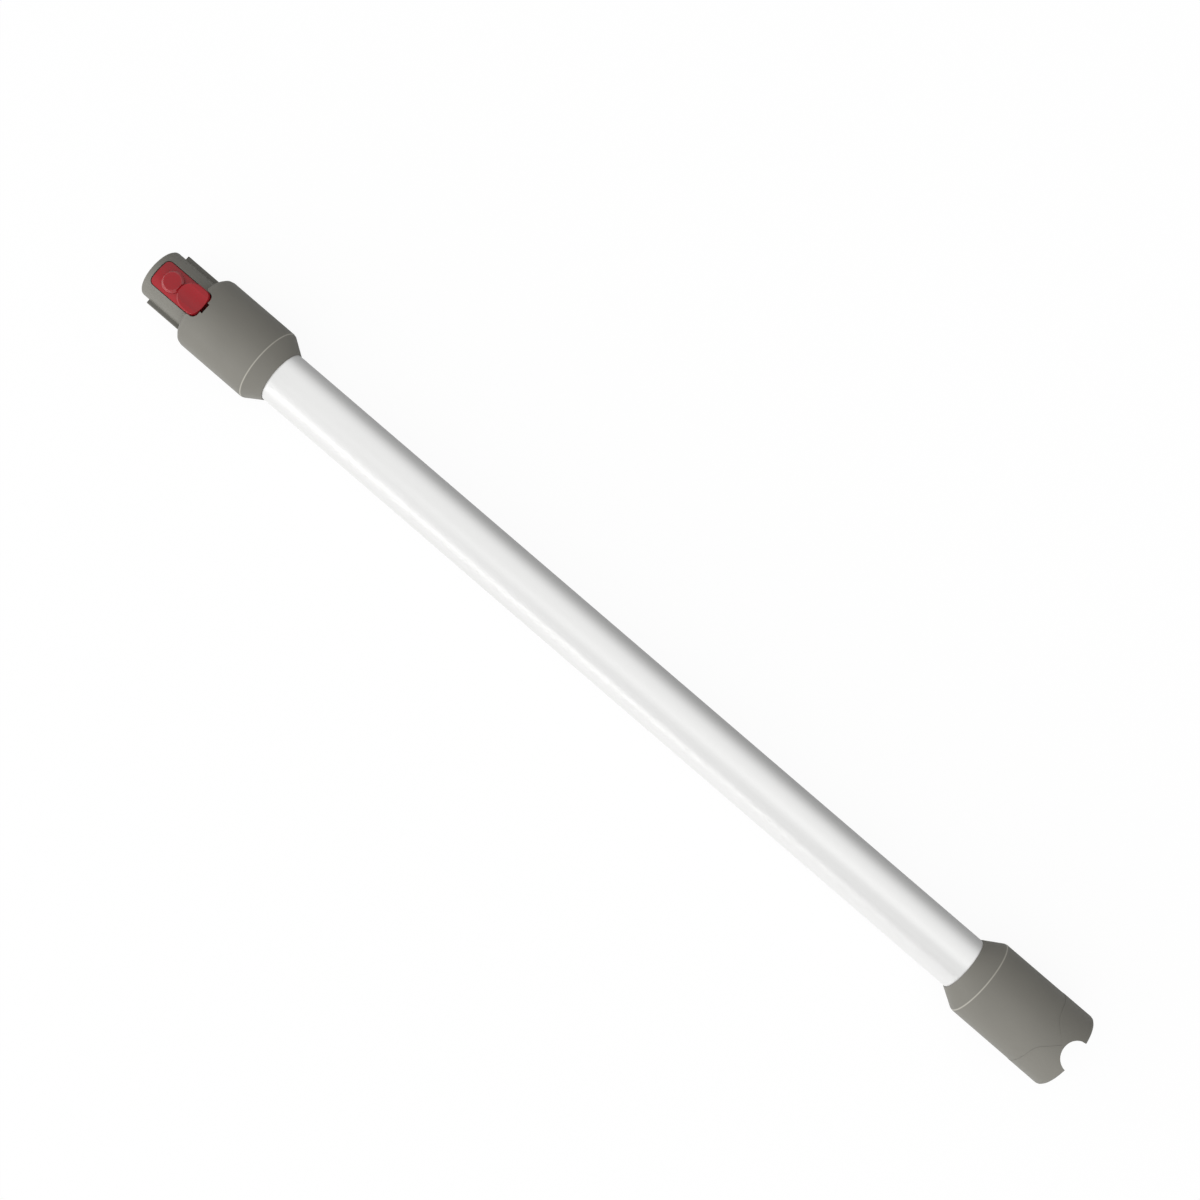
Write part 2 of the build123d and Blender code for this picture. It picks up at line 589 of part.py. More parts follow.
# Socket liner: stepped bore, grooves for the guide ribs, pocket for the catch and sleeve in the tube
with BuildPart() as socket_liner:
    with BuildSketch(SIDE_VIEW):
        with BuildLine():
            Polyline(
                (TOTAL_LENGTH, 0),
                (TOTAL_LENGTH, FLANGE_R),
                (TOTAL_LENGTH - FLANGE_LENGTH, FLANGE_R),
                (TOTAL_LENGTH - FLANGE_LENGTH, LINER_R),
                (LOWER_STOP + STOP_RING_LENGTH, LINER_R),
                (LOWER_STOP + STOP_RING_LENGTH, FLANGE_R),
                (LOWER_STOP, FLANGE_R),
                (LOWER_STOP, SLEEVE_R),
                (LOWER_SLEEVE_END, SLEEVE_R),
                (LOWER_SLEEVE_END, 0),
                close=True,
            )
        make_face()
    revolve(axis=WAND_AXIS)
    add(liner_bosses.part)
    groove_half = GUIDE_RIB_WIDTH / 2 + GROOVE_CLEARANCE
    groove_reach = GUIDE_RIB_R + GROOVE_CLEARANCE
    groove_end = TOTAL_LENGTH - SPIGOT_LENGTH + GUIDE_RIB_START - GROOVE_CLEARANCE
    with BuildSketch(cross_section(groove_end - GROOVE_WALL)):
        Rectangle(2 * (groove_reach + GROOVE_WALL), 2 * (groove_half + GROOVE_WALL))
        Circle(LINER_REACH, mode=Mode.INTERSECT)
    extrude(until=Until.LAST)
    for flank in (Plane.XZ, -Plane.XZ):
        lug = lug_section(LOWER_LUG, LUG_R)
        extrude(lug, amount=SLEEVE_R + LUG_HEIGHT, dir=flank.z_dir)
    with BuildSketch(SIDE_VIEW):
        with BuildLine():
            Polyline(
                (LOWER_SLEEVE_END, 0),
                (LOWER_SLEEVE_END, AIRWAY_R),
                (SOCKET_FLOOR, AIRWAY_R),
                (SOCKET_FLOOR, SOCKET_SEAT_R),
                (SOCKET_STEP, SOCKET_SEAT_R),
                (SOCKET_STEP, SOCKET_MOUTH_R),
                (TOTAL_LENGTH - SOCKET_LEAD, SOCKET_MOUTH_R),
                (TOTAL_LENGTH, SOCKET_MOUTH_R + SOCKET_LEAD),
                (TOTAL_LENGTH, 0),
                close=True,
            )
        make_face()
    revolve(axis=WAND_AXIS, mode=Mode.SUBTRACT)
    grooves = guide_rib_section(groove_end, groove_half, groove_reach, 0)
    extrude(grooves, amount=FAR, mode=Mode.SUBTRACT)
    with BuildSketch(plan_view(0)):
        with Locations((POCKET_STATION, 0)):
            Circle(POCKET_R)
    extrude(amount=POCKET_TOP_Z, mode=Mode.SUBTRACT)
    extrude(notch_section(NOTCH_R), amount=FAR, mode=Mode.SUBTRACT)
    extrude(floor_section(LOWER_SLEEVE_END, AIRWAY_R + FLOOR_ROOT), amount=SOCKET_FLOOR - LOWER_SLEEVE_END)

# Block that holds the plug's two pins in the channel under the spigot's airway
with BuildPart() as plug_carrier:
    carrier = channel_section(PLUG_CARRIER_START, AIRWAY_R - BLOCK_FIT, CHANNEL_TOP_Z - BLOCK_FIT)
    extrude(carrier, amount=PLUG_CARRIER_LENGTH)
    extrude(lead_section(0, PLUG_PIN_R + SEAT_FIT), amount=COLLAR_FRONT, mode=Mode.SUBTRACT)

# The plug's two pins, bevelled at the tip, with tails for the leads
plug_tail_end = PLUG_CARRIER_START + PLUG_CARRIER_LENGTH + PLUG_TAIL
with BuildPart() as plug_pins:
    extrude(lead_section(PLUG_PIN_SETBACK, PLUG_PIN_R), amount=plug_tail_end - PLUG_PIN_SETBACK)
    chamfer(plug_pins.edges().group_by(Axis.X)[0], PLUG_PIN_END)

# Block of the socket: a nose that enters the plug's channel and a wider root in the liner
socket_block_front = SOCKET_FLOOR + SOCKET_BLOCK_REACH
with BuildPart() as socket_carrier:
    nose = channel_section(
        SOCKET_FLOOR, AIRWAY_R - SOCKET_BLOCK_CLEARANCE, CHANNEL_TOP_Z - SOCKET_BLOCK_CLEARANCE
    )
    extrude(nose, amount=SOCKET_BLOCK_REACH)
    root = channel_section(
        SOCKET_FLOOR - SOCKET_BLOCK_REAR, AIRWAY_R - BLOCK_FIT, CHANNEL_TOP_Z - BLOCK_FIT
    )
    extrude(root, amount=SOCKET_BLOCK_REAR)
    extrude(
        lead_section(SOCKET_FLOOR - SOCKET_BLOCK_REAR, CONTACT_R + SEAT_FIT),
        amount=SOCKET_BLOCK_REAR + SOCKET_BLOCK_REACH,
        mode=Mode.SUBTRACT,
    )

# The socket's two contact sleeves, bored for the tool's pins
contact_front = socket_block_front - CONTACT_RECESS
contact_rear = SOCKET_FLOOR - SOCKET_BLOCK_REAR - PLUG_TAIL
with BuildPart() as socket_contacts:
    extrude(lead_section(contact_rear, CONTACT_R), amount=contact_front - contact_rear)
    contact_bores = lead_section(contact_front - CONTACT_DEPTH, PLUG_PIN_R + CONTACT_RUNNING)
    extrude(contact_bores, amount=CONTACT_DEPTH, mode=Mode.SUBTRACT)

# Closed duct along the bottom of the tube
duct_start = UPPER_SLEEVE_END + DUCT_END_GAP
duct_end = LOWER_SLEEVE_END - DUCT_END_GAP
with BuildPart() as wire_duct:
    extrude(channel_section(duct_start, SLEEVE_R, CHANNEL_FLOOR_Z), amount=duct_end - duct_start)
    hollow = channel_section(duct_start, SLEEVE_R - DUCT_WALL, CHANNEL_FLOOR_Z - DUCT_WALL)
    extrude(hollow, amount=duct_end - duct_start, mode=Mode.SUBTRACT)


def lead(place):
    """One insulated lead from the plug's tail to the socket's contact."""
    with BuildPart() as wire:
        with BuildSketch(cross_section(plug_tail_end)):
            with Locations(place):
                Circle(LEAD_R)
        extrude(amount=contact_rear - plug_tail_end)
    return wire


def grommet(station):
    """Rubber block that fills the channel round the two leads."""
    with BuildPart() as block:
        extrude(
            channel_section(station, AIRWAY_R - BLOCK_FIT, CHANNEL_TOP_Z - BLOCK_FIT),
            amount=GROMMET_LENGTH,
        )
        extrude(lead_section(station, LEAD_R + SEAT_FIT), amount=GROMMET_LENGTH, mode=Mode.SUBTRACT)
    return block


def ring(station, length, outer_radius, inner_radius):
    """Flat rubber ring."""
    with BuildPart() as washer:
        extrude(ring_section(station, outer_radius, inner_radius), amount=length)
    return washer


wire_live, wire_return = [lead(place) for place in LEAD_PLACES]
upper_grommet = grommet(UPPER_SLEEVE_END - GROMMET_LENGTH)
lower_grommet = grommet(LOWER_SLEEVE_END)
seal_outer = TUBE_R + TUBE_SEAL_PROUD
seal_inner = SLEEVE_R + SLEEVE_FIT
upper_tube_seal = ring(UPPER_STOP, TUBE_SEAL_LENGTH, seal_outer, seal_inner)
lower_tube_seal = ring(TUBE_END, TUBE_SEAL_LENGTH, seal_outer, seal_inner)
socket_seal = ring(
    SOCKET_FLOOR, SOCKET_SEAL_LENGTH, SOCKET_SEAT_R - SOCKET_SEAL_FIT, AIRWAY_R + SOCKET_SEAL_FIT
)

pieces = {
    "wand_tube": wand_tube,
    "upper_collar": upper_collar,
    "upper_spigot": upper_spigot,
    "release_button": release_button,
    "button_pivot_pin": button_pivot_pin,
    "button_spring": button_spring,
    "lower_collar": lower_collar,
    "socket_liner": socket_liner,
    "plug_carrier": plug_carrier,
    "plug_pins": plug_pins,
    "socket_carrier": socket_carrier,
    "socket_contacts": socket_contacts,
    "wire_duct": wire_duct,
    "wire_live": wire_live,
    "wire_return": wire_return,
    "upper_grommet": upper_grommet,
    "lower_grommet": lower_grommet,
    "upper_tube_seal": upper_tube_seal,
    "lower_tube_seal": lower_tube_seal,
    "socket_seal": socket_seal,
}

os.makedirs("parts", exist_ok=True)
for name, piece in pieces.items():
    piece.part.label = name
    export_step(piece.part, f"parts/{name}.step")
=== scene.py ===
"""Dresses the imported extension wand: smooth pieces for what is seen, finishes, and the photo's stage."""

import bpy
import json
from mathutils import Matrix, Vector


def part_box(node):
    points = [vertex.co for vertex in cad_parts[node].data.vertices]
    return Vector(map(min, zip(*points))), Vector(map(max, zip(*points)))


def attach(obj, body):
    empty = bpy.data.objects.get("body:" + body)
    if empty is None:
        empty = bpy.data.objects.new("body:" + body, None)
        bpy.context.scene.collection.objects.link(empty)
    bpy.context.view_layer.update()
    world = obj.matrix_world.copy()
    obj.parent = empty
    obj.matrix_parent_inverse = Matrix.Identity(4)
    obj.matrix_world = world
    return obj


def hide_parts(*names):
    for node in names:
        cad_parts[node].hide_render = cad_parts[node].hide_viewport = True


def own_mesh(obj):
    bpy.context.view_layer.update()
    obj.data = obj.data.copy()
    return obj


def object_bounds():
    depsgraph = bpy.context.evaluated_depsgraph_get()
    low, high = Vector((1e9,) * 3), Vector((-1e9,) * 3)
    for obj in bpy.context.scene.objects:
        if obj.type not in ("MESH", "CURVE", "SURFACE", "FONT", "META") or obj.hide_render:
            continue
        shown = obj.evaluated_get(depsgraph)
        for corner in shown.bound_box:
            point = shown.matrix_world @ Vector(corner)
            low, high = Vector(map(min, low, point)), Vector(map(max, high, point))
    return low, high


bl_info = {
    "name": "Extension Wand",
    "version": (1, 0, 0),
    "blender": (4, 5, 0),
    "location": "3D View > Sidebar > Wand",
    "description": "Finishes and stage for a quick-release vacuum extension wand",
    "category": "Object",
}

import json
import math

import bpy
from mathutils import Matrix, Vector

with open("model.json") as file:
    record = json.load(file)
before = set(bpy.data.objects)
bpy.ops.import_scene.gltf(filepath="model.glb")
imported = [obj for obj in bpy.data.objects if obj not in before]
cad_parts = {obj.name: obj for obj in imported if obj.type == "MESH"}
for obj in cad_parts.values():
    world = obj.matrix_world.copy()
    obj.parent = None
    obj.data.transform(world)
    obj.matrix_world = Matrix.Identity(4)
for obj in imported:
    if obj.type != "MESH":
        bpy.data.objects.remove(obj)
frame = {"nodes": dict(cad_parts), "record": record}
CAD_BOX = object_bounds()
NODES = frame["nodes"]
RECORD = frame["record"]
BODY_OF = {node: body for body, nodes in RECORD["behaviour"]["bodies"].items() for node in nodes}

# Places and sizes read from the frame, in metres
MM = 0.001
TUBE_LOW, TUBE_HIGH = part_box("wand_tube")
TUBE_RADIUS = (TUBE_HIGH.z - TUBE_LOW.z) / 2
AXIS_HEIGHT = (TUBE_HIGH.z + TUBE_LOW.z) / 2
UPPER_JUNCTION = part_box("upper_collar")[1].x
LOWER_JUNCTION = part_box("lower_collar")[0].x
COLLAR_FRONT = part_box("upper_collar")[0].x
SPIGOT_RADIUS = RECORD["mounts"][1]["dims"]["r_mm"] * MM
BUTTON_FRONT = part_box("release_button")[0].x

# How deep the turned catch is set into the button, and its fit there
CATCH_ROOT = 3.2 * MM
CATCH_FIT = 0.02 * MM

# The wall that closes the thumb pad's round front: below the spigot's top, its height and thickness
PAD_ROOT = 2.2 * MM
PAD_HEIGHT = 5.6 * MM
PAD_WALL = 1.5 * MM

# How the copies of CAD nodes are welded and smoothed
WELD = 0.002 * MM
FLAT = math.radians(0.4)
CREASE = math.radians(38)
CRISP_REACH = 1.5 * MM

# Facets of turned pieces and holes, and the shape of the catch's rim
DISC_SIDES = 96
HOLE_SIDES = 48
RIM_STEPS = 8
RIM_PROFILE = 0.33

# Over how much the painted shade on the guide rib strips and the polished rim fade out
RIB_FADE = 0.3 * MM
RIM_FADE_IN = 0.2 * MM
RIM_FADE_OUT = 0.1 * MM

# Floor, lamps and mirrored sky of the stage
FLOOR_SIZE = 8.0
KEY_PLACE, KEY_SIZE = (-1.0, -1.5, 0.45), (4.0, 0.2)
TOP_PLACE, TOP_SIZE = (0.1, -0.2, 1.8), (1.8, 0.8)
SKY_WHITE = 0.95
SKY_DIP = 0.5

# The camera's own axes and its place over the wand before it swings
CAMERA_RIGHT = Vector((0.75755711, 0.65175875, -0.03630103))
CAMERA_UP = Vector((-0.64921024, 0.75806016, 0.06221614))
CAMERA_PLACE = (0.04636, 0.0, 0.9959)


class Signal:
    """A shader socket that adds Math nodes when it is used in an expression."""

    def __init__(self, graph, socket):
        self.graph = graph
        self.socket = socket

    def __add__(self, other):
        return self.graph.math("ADD", self, other)

    def __radd__(self, other):
        return self.graph.math("ADD", other, self)

    def __sub__(self, other):
        return self.graph.math("SUBTRACT", self, other)

    def __rsub__(self, other):
        return self.graph.math("SUBTRACT", other, self)

    def __mul__(self, other):
        return self.graph.math("MULTIPLY", self, other)

    def __rmul__(self, other):
        return self.graph.math("MULTIPLY", other, self)

    def __abs__(self):
        return self.graph.math("ABSOLUTE", self)


class Graph:
    """A node tree that nodes are added to."""

    def __init__(self, tree):
        self.tree = tree

    def feed(self, socket, value):
        """Sets a socket's value, or links a signal to it."""
        if isinstance(value, Signal):
            self.tree.links.new(value.socket, socket)
        else:
            socket.default_value = value

    def node(self, kind, settings=None, inputs=None, out=0):
        """Adds a node with its settings and inputs, and returns one of its outputs."""
        made = self.tree.nodes.new(kind)
        for key, value in (settings or {}).items():
            setattr(made, key, value)
        for key, value in (inputs or {}).items():
            self.feed(made.inputs[key], value)
        return Signal(self, made.outputs[out])

    def math(self, operation, *operands):
        return self.node("ShaderNodeMath", {"operation": operation}, dict(enumerate(operands)))

    def ramp(self, value, start, end):
        """Zero before a start, one after an end and even between them."""
        inputs = {"Value": value, "From Min": start, "From Max": end}
        return self.node("ShaderNodeMapRange", inputs=inputs)

    def ray(self, kind):
        """One for rays of a kind, such as Camera, and zero for the others."""
        return self.node("ShaderNodeLightPath", out=f"Is {kind} Ray")


class Finish(Graph):
    """One procedural material, built from nodes around its Principled shader."""

    def __init__(self, name):
        self.material = bpy.data.materials.new(name)
        self.material.use_nodes = True
        super().__init__(self.material.node_tree)
        self.shader = self.tree.nodes["Principled BSDF"]
        self.output = self.tree.nodes["Material Output"]

    def set(self, **values):
        """Sets the Principled shader's sockets, named with underscores for spaces."""
        for key, value in values.items():
            self.feed(self.shader.inputs[key.replace("_", " ")], value)

    def place(self, stretch=(1, 1, 1)):
        """Object coordinates in metres, stretched."""
        coordinates = self.node("ShaderNodeTexCoord", out="Object")
        return self.node("ShaderNodeMapping", inputs={"Vector": coordinates, "Scale": stretch})

    def axis(self, name):
        """One of the Object coordinates, in metres."""
        return self.node("ShaderNodeSeparateXYZ", inputs={0: self.place()}, out=name)

    def noise(self, vector, scale, detail=3.0, roughness=0.5):
        inputs = {"Vector": vector, "Scale": scale, "Detail": detail, "Roughness": roughness}
        return self.node("ShaderNodeTexNoise", inputs=inputs, out="Fac")

    def mix(self, factor, first, second):
        """Mix of two colours."""
        inputs = {0: factor, 6: first, 7: second}
        return self.node("ShaderNodeMix", {"data_type": "RGBA"}, inputs, out=2)

    def bump(self, height, distance, strength=1.0):
        inputs = {"Height": height, "Distance": distance, "Strength": strength}
        return self.node("ShaderNodeBump", inputs=inputs)


def colour(hex_code):
    """Linear colour with alpha from a display colour such as 6a6860."""
    channels = [int(hex_code[i : i + 2], 16) / 255 for i in (0, 2, 4)]
    linear = [c / 12.92 if c <= 0.04045 else ((c + 0.055) / 1.055) ** 2.4 for c in channels]
    return (*linear, 1.0)


def shade(base, share):
    """A colour made darker or lighter by a share."""
    return (*(channel * share for channel in base[:3]), 1.0)


def moulded_grey(name, settings):
    """Satin warm grey plastic with a fine grain, a painted highlight as a bright line at the shoulders, and
    painted shade on the guide rib strips.
    """
    base = tuple(settings.grey)
    finish = Finish(name)
    here = finish.place()
    along, across = finish.axis("X"), finish.axis("Y")
    painted_highlight = 0.0
    # Painted highlight: a thin bright line at each taper's shoulder, where the edge catches the key light; it
    # is glossier there too.
    for shoulder in shoulders(settings):
        distance = abs(along - shoulder)
        painted_highlight = painted_highlight + finish.ramp(distance, settings.edge_width, settings.edge_width / 3)
    # Painted shade: the guide rib strips beside the spigot are darkened, standing in for their shadowed sides.
    proud = finish.ramp(abs(across), SPIGOT_RADIUS, SPIGOT_RADIUS + RIB_FADE)
    painted_rib_shade = proud * (1 - finish.ramp(along, COLLAR_FRONT, COLLAR_FRONT + RIB_FADE))
    grain = finish.noise(here, 2600.0, 4.0, 0.6)
    cloud = finish.noise(here, 45.0, 2.0)
    tone = finish.mix(cloud, shade(base, 0.95), shade(base, 1.05))
    # Painted shade on the guide rib strips: the grey at 0.7.
    tone = finish.mix(painted_rib_shade, tone, shade(base, 0.7))
    # Painted highlight: the grey is doubled along the shoulder lines.
    finish.set(Base_Color=finish.mix(painted_highlight, tone, shade(base, 2.0)))
    finish.set(Roughness=grain * 0.12 + 0.42 - painted_highlight * 0.16, Specular_IOR_Level=0.35)
    finish.set(Normal=finish.bump(grain, 0.02 * MM, 0.4))
    return finish.material


def anodised_aluminium(name, base):
    """Satin anodised tube with fine lengthwise drawing lines."""
    finish = Finish(name)
    streaks = finish.noise(finish.place((6.0, 1400.0, 1400.0)), 1.0, 3.0, 0.6)
    cloud = finish.noise(finish.place((8.0, 30.0, 30.0)), 1.0, 2.0)
    finish.set(Base_Color=finish.mix(streaks, shade(base, 0.97), base), Metallic=1.0)
    finish.set(Roughness=streaks * 0.06 + cloud * 0.05 + 0.4)
    finish.set(Normal=finish.bump(streaks, 0.003 * MM, 0.3))
    return finish.material


def glossy_red(name, settings):
    """Deep red button plastic with a faint ripple, polished on the catch's rim."""
    base = tuple(settings.red)
    finish = Finish(name)
    here = finish.place()
    grain = finish.noise(here, 1800.0, 3.0)
    cloud = finish.noise(here, 120.0, 2.0)
    finish.set(Base_Color=finish.mix(cloud, shade(base, 0.96), shade(base, 1.04)))
    along, across = finish.axis("X") - (BUTTON_FRONT + settings.catch_inset), finish.axis("Y")
    reach = finish.math("SQRT", along * along + across * across)
    outer, inner = settings.catch_radius, settings.catch_radius - settings.catch_edge
    polished = finish.ramp(reach, inner - RIM_FADE_IN, inner) * finish.ramp(reach, outer + RIM_FADE_OUT, outer)
    finish.set(Roughness=grain * 0.05 + 0.2, Specular_IOR_Level=0.25)
    finish.set(Coat_Weight=polished * 0.65 + 0.35, Coat_Roughness=0.12)
    finish.set(Normal=finish.bump(grain, 0.004 * MM, 0.3))
    return finish.material


def plain_inner(name, base, roughness, metallic=0.0):
    """Finish of a piece inside the wand, with a light grain."""
    finish = Finish(name)
    grain = finish.noise(finish.place(), 1500.0, 2.0)
    finish.set(Base_Color=finish.mix(grain, shade(base, 0.9), base), Metallic=metallic)
    finish.set(Roughness=grain * 0.1 + (roughness - 0.05))
    return finish.material


def shoulders(settings):
    """Stations where the collars' tapers begin."""
    return UPPER_JUNCTION - settings.upper_taper, LOWER_JUNCTION + settings.lower_taper


def dress(piece, material):
    """Gives a piece one material."""
    piece.data.materials.clear()
    piece.data.materials.append(material)


def stand_for(piece, node, material):
    """Finishes a new piece and puts it in a CAD node's place."""
    dress(piece, material)
    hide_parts(node)
    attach(piece, BODY_OF[node])


def pick(piece):
    """Selects one object alone and makes it active."""
    bpy.ops.object.select_all(action="DESELECT")
    piece.select_set(True)
    bpy.context.view_layer.objects.active = piece


def modify(piece, kind, **settings):
    """Adds a modifier with its settings and applies it."""
    pick(piece)
    bpy.ops.object.modifier_add(type=kind)
    modifier = piece.modifiers[-1]
    for key, value in settings.items():
        setattr(modifier, key, value)
    bpy.ops.object.modifier_apply(modifier=modifier.name)


def cut(piece, tool):
    """Takes a tool's shape out of a piece."""
    modify(piece, "BOOLEAN", operation="DIFFERENCE", solver="EXACT", object=tool)
    bpy.data.objects.remove(tool)


def keep_crisp(piece, station, reach):
    """Marks the rings of edges round a station of the wand, so that no shading runs across them."""
    pick(piece)
    bpy.ops.object.mode_set(mode="EDIT")
    bpy.ops.mesh.select_mode(type="EDGE")
    bpy.ops.mesh.select_all(action="DESELECT")
    bpy.ops.object.mode_set(mode="OBJECT")
    places = [vertex.co.x for vertex in piece.data.vertices]
    for edge in piece.data.edges:
        first, second = (places[index] for index in edge.vertices)
        edge.select = abs(first - second) < WELD and abs(first - station) < reach
    bpy.ops.object.mode_set(mode="EDIT")
    bpy.ops.mesh.mark_sharp()
    bpy.ops.object.mode_set(mode="OBJECT")


def smooth_copy(node, name, crisp=()):
    """Copy of a CAD node, welded from its loose triangles, with soft rounds and its real edges kept."""
    piece = bpy.data.objects.new(name, NODES[node].data.copy())
    bpy.context.scene.collection.objects.link(piece)
    pick(piece)
    bpy.ops.object.mode_set(mode="EDIT")
    bpy.ops.mesh.select_all(action="SELECT")
    bpy.ops.mesh.customdata_custom_splitnormals_clear()
    bpy.ops.mesh.remove_doubles(threshold=WELD)
    bpy.ops.mesh.dissolve_limited(angle_limit=FLAT)
    bpy.ops.object.mode_set(mode="OBJECT")
    bpy.ops.object.shade_smooth_by_angle(angle=CREASE)
    for station in crisp:
        keep_crisp(piece, station, CRISP_REACH)
    modify(piece, "WEIGHTED_NORMAL", keep_sharp=True, weight=100)
    return piece


class WandSettings(bpy.types.PropertyGroup):
    """Colours and sizes of the wand's pieces."""

    grey: bpy.props.FloatVectorProperty(
        name="Collar grey", description="Colour of the collars", subtype="COLOR", size=4,
        min=0, max=1, default=colour("727069"),
    )
    silver: bpy.props.FloatVectorProperty(
        name="Tube silver", description="Colour of the anodised tube", subtype="COLOR", size=4,
        min=0, max=1, default=colour("f2f2f1"),
    )
    red: bpy.props.FloatVectorProperty(
        name="Button red", description="Colour of the release button", subtype="COLOR", size=4,
        min=0, max=1, default=colour("93151e"),
    )
    upper_taper: bpy.props.FloatProperty(
        name="Upper taper", description="Length of the upper collar's taper", default=11.0 * MM, unit="LENGTH",
    )
    lower_taper: bpy.props.FloatProperty(
        name="Lower taper", description="Length of the lower collar's taper", default=11.8 * MM, unit="LENGTH",
    )
    catch_inset: bpy.props.FloatProperty(
        name="Catch inset", description="From the button's front to the middle of its catch",
        default=11.9 * MM, unit="LENGTH",
    )
    catch_radius: bpy.props.FloatProperty(
        name="Catch radius", description="Radius of the button's round catch", default=7.1 * MM, unit="LENGTH",
    )
    catch_rise: bpy.props.FloatProperty(
        name="Catch rise", description="How far the catch stands above the spigot", default=1.8 * MM,
        unit="LENGTH",
    )
    catch_edge: bpy.props.FloatProperty(
        name="Catch edge", description="Width of the catch's rim", default=1.6 * MM, unit="LENGTH",
    )
    pad_inset: bpy.props.FloatProperty(
        name="Pad inset", description="From the upper collar's front to the middle of the thumb pad",
        default=2.4 * MM, unit="LENGTH",
    )
    pad_radius: bpy.props.FloatProperty(
        name="Pad radius", description="Radius of the thumb pad's round front", default=9.0 * MM, unit="LENGTH",
    )
    spring_keep: bpy.props.FloatProperty(
        name="Pressed spring", description="Share of the spring's height that is left when the button is down",
        default=0.66, min=0.1, max=1, subtype="FACTOR",
    )
    # Half width of the painted highlight line along the shoulders.
    edge_width: bpy.props.FloatProperty(
        name="Edge width", description="Half width of the bright line rubbed on the shoulders",
        default=0.5 * MM, unit="LENGTH",
    )
    tube_wall: bpy.props.FloatProperty(
        name="Tube wall", description="Thickness of the tube's wall", default=1.0 * MM, unit="LENGTH",
    )
    tube_sides: bpy.props.IntProperty(
        name="Tube sides", description="Facets round the tube", default=160, min=32,
    )
    snap_inset: bpy.props.FloatProperty(
        name="Snap hole inset", description="From the tube's end to its snap holes",
        default=15.0 * MM, unit="LENGTH",
    )
    snap_radius: bpy.props.FloatProperty(
        name="Snap hole radius", description="Radius of the snap holes", default=3.0 * MM, unit="LENGTH",
    )


class StageSettings(bpy.types.PropertyGroup):
    """Camera and lights of the stage."""

    lens: bpy.props.FloatProperty(
        name="Lens", description="Focal length on a 36 mm frame", default=49.36, unit="CAMERA",
    )
    swing: bpy.props.FloatProperty(
        name="Swing", description="How far the camera swings about the wand towards -Y",
        default=math.radians(3.2), subtype="ANGLE",
    )
    key_power: bpy.props.FloatProperty(
        name="Key power", description="Power of the long key light", default=9.0, min=0, unit="POWER",
    )
    top_power: bpy.props.FloatProperty(
        name="Top power", description="Power of the light above", default=3.0, min=0, unit="POWER",
    )
    sky_near: bpy.props.FloatProperty(
        name="Near sky", description="Strength of the surrounding light on the key's side", default=1.85, min=0,
    )
    sky_far: bpy.props.FloatProperty(
        name="Far sky", description="Strength of the surrounding light on the far side", default=0.05, min=0,
    )
    floor_glow: bpy.props.FloatProperty(
        name="Floor glow", description="Share of plain white in the floor as it is seen",
        default=0.93, min=0, max=1, subtype="FACTOR",
    )
    # As the pieces mirror the floor, this plain light carries painted shade, grey on the far side.
    floor_sheen: bpy.props.FloatProperty(
        name="Floor sheen", description="Share of plain light in the floor as the pieces mirror it",
        default=0.9, min=0, max=1, subtype="FACTOR",
    )


class WAND_OT_make_collars(bpy.types.Operator):
    """Grey collars, spigot and socket liner"""

    bl_idname = "wand.make_collars"
    bl_label = "Make Collars"

    def execute(self, context):
        settings = context.scene.wand
        grey = moulded_grey("collar_grey", settings)
        for node in ("upper_collar", "lower_collar", "upper_spigot", "socket_liner"):
            stand_for(smooth_copy(node, f"{node}_moulding", shoulders(settings)), node, grey)
        return {"FINISHED"}


class WAND_OT_make_tube(bpy.types.Operator):
    """Smooth anodised tube with a pair of snap holes at each end"""

    bl_idname = "wand.make_tube"
    bl_label = "Make Tube"

    def execute(self, context):
        settings = context.scene.wand
        tube = self.draw_wall(settings)
        modify(tube, "SOLIDIFY", thickness=settings.tube_wall, offset=-1.0)
        for station in (TUBE_LOW.x + settings.snap_inset, TUBE_HIGH.x - settings.snap_inset):
            self.drill(tube, station, settings.snap_radius)
        pick(tube)
        bpy.ops.object.shade_smooth_by_angle(angle=CREASE)
        stand_for(tube, "wand_tube", anodised_aluminium("tube_silver", tuple(settings.silver)))
        return {"FINISHED"}

    def draw_wall(self, settings):
        """Outer wall, drawn from one end to the other in three runs that meet under the collars' ends."""
        bpy.ops.object.select_all(action="DESELECT")
        bpy.ops.mesh.primitive_circle_add(
            vertices=settings.tube_sides, radius=TUBE_RADIUS,
            location=(TUBE_LOW.x, 0, AXIS_HEIGHT), rotation=(0, math.pi / 2, 0),
        )
        tube = bpy.context.object
        tube.name = "drawn_tube"
        bpy.ops.object.transform_apply(location=True, rotation=True, scale=True)
        bpy.ops.object.mode_set(mode="EDIT")
        bpy.ops.mesh.select_all(action="SELECT")
        stations = (TUBE_LOW.x, UPPER_JUNCTION, LOWER_JUNCTION, TUBE_HIGH.x)
        for start, end in zip(stations, stations[1:]):
            bpy.ops.mesh.extrude_region_move(TRANSFORM_OT_translate={"value": (end - start, 0, 0)})
        bpy.ops.mesh.select_all(action="SELECT")
        bpy.ops.mesh.normals_make_consistent(inside=False)
        bpy.ops.object.mode_set(mode="OBJECT")
        return tube

    def drill(self, tube, station, radius):
        """Cuts a pair of holes across the tube."""
        bpy.ops.object.select_all(action="DESELECT")
        bpy.ops.mesh.primitive_cylinder_add(
            vertices=HOLE_SIDES, radius=radius, depth=3 * TUBE_RADIUS,
            location=(station, 0, AXIS_HEIGHT), rotation=(math.pi / 2, 0, 0),
        )
        cut(tube, bpy.context.object)


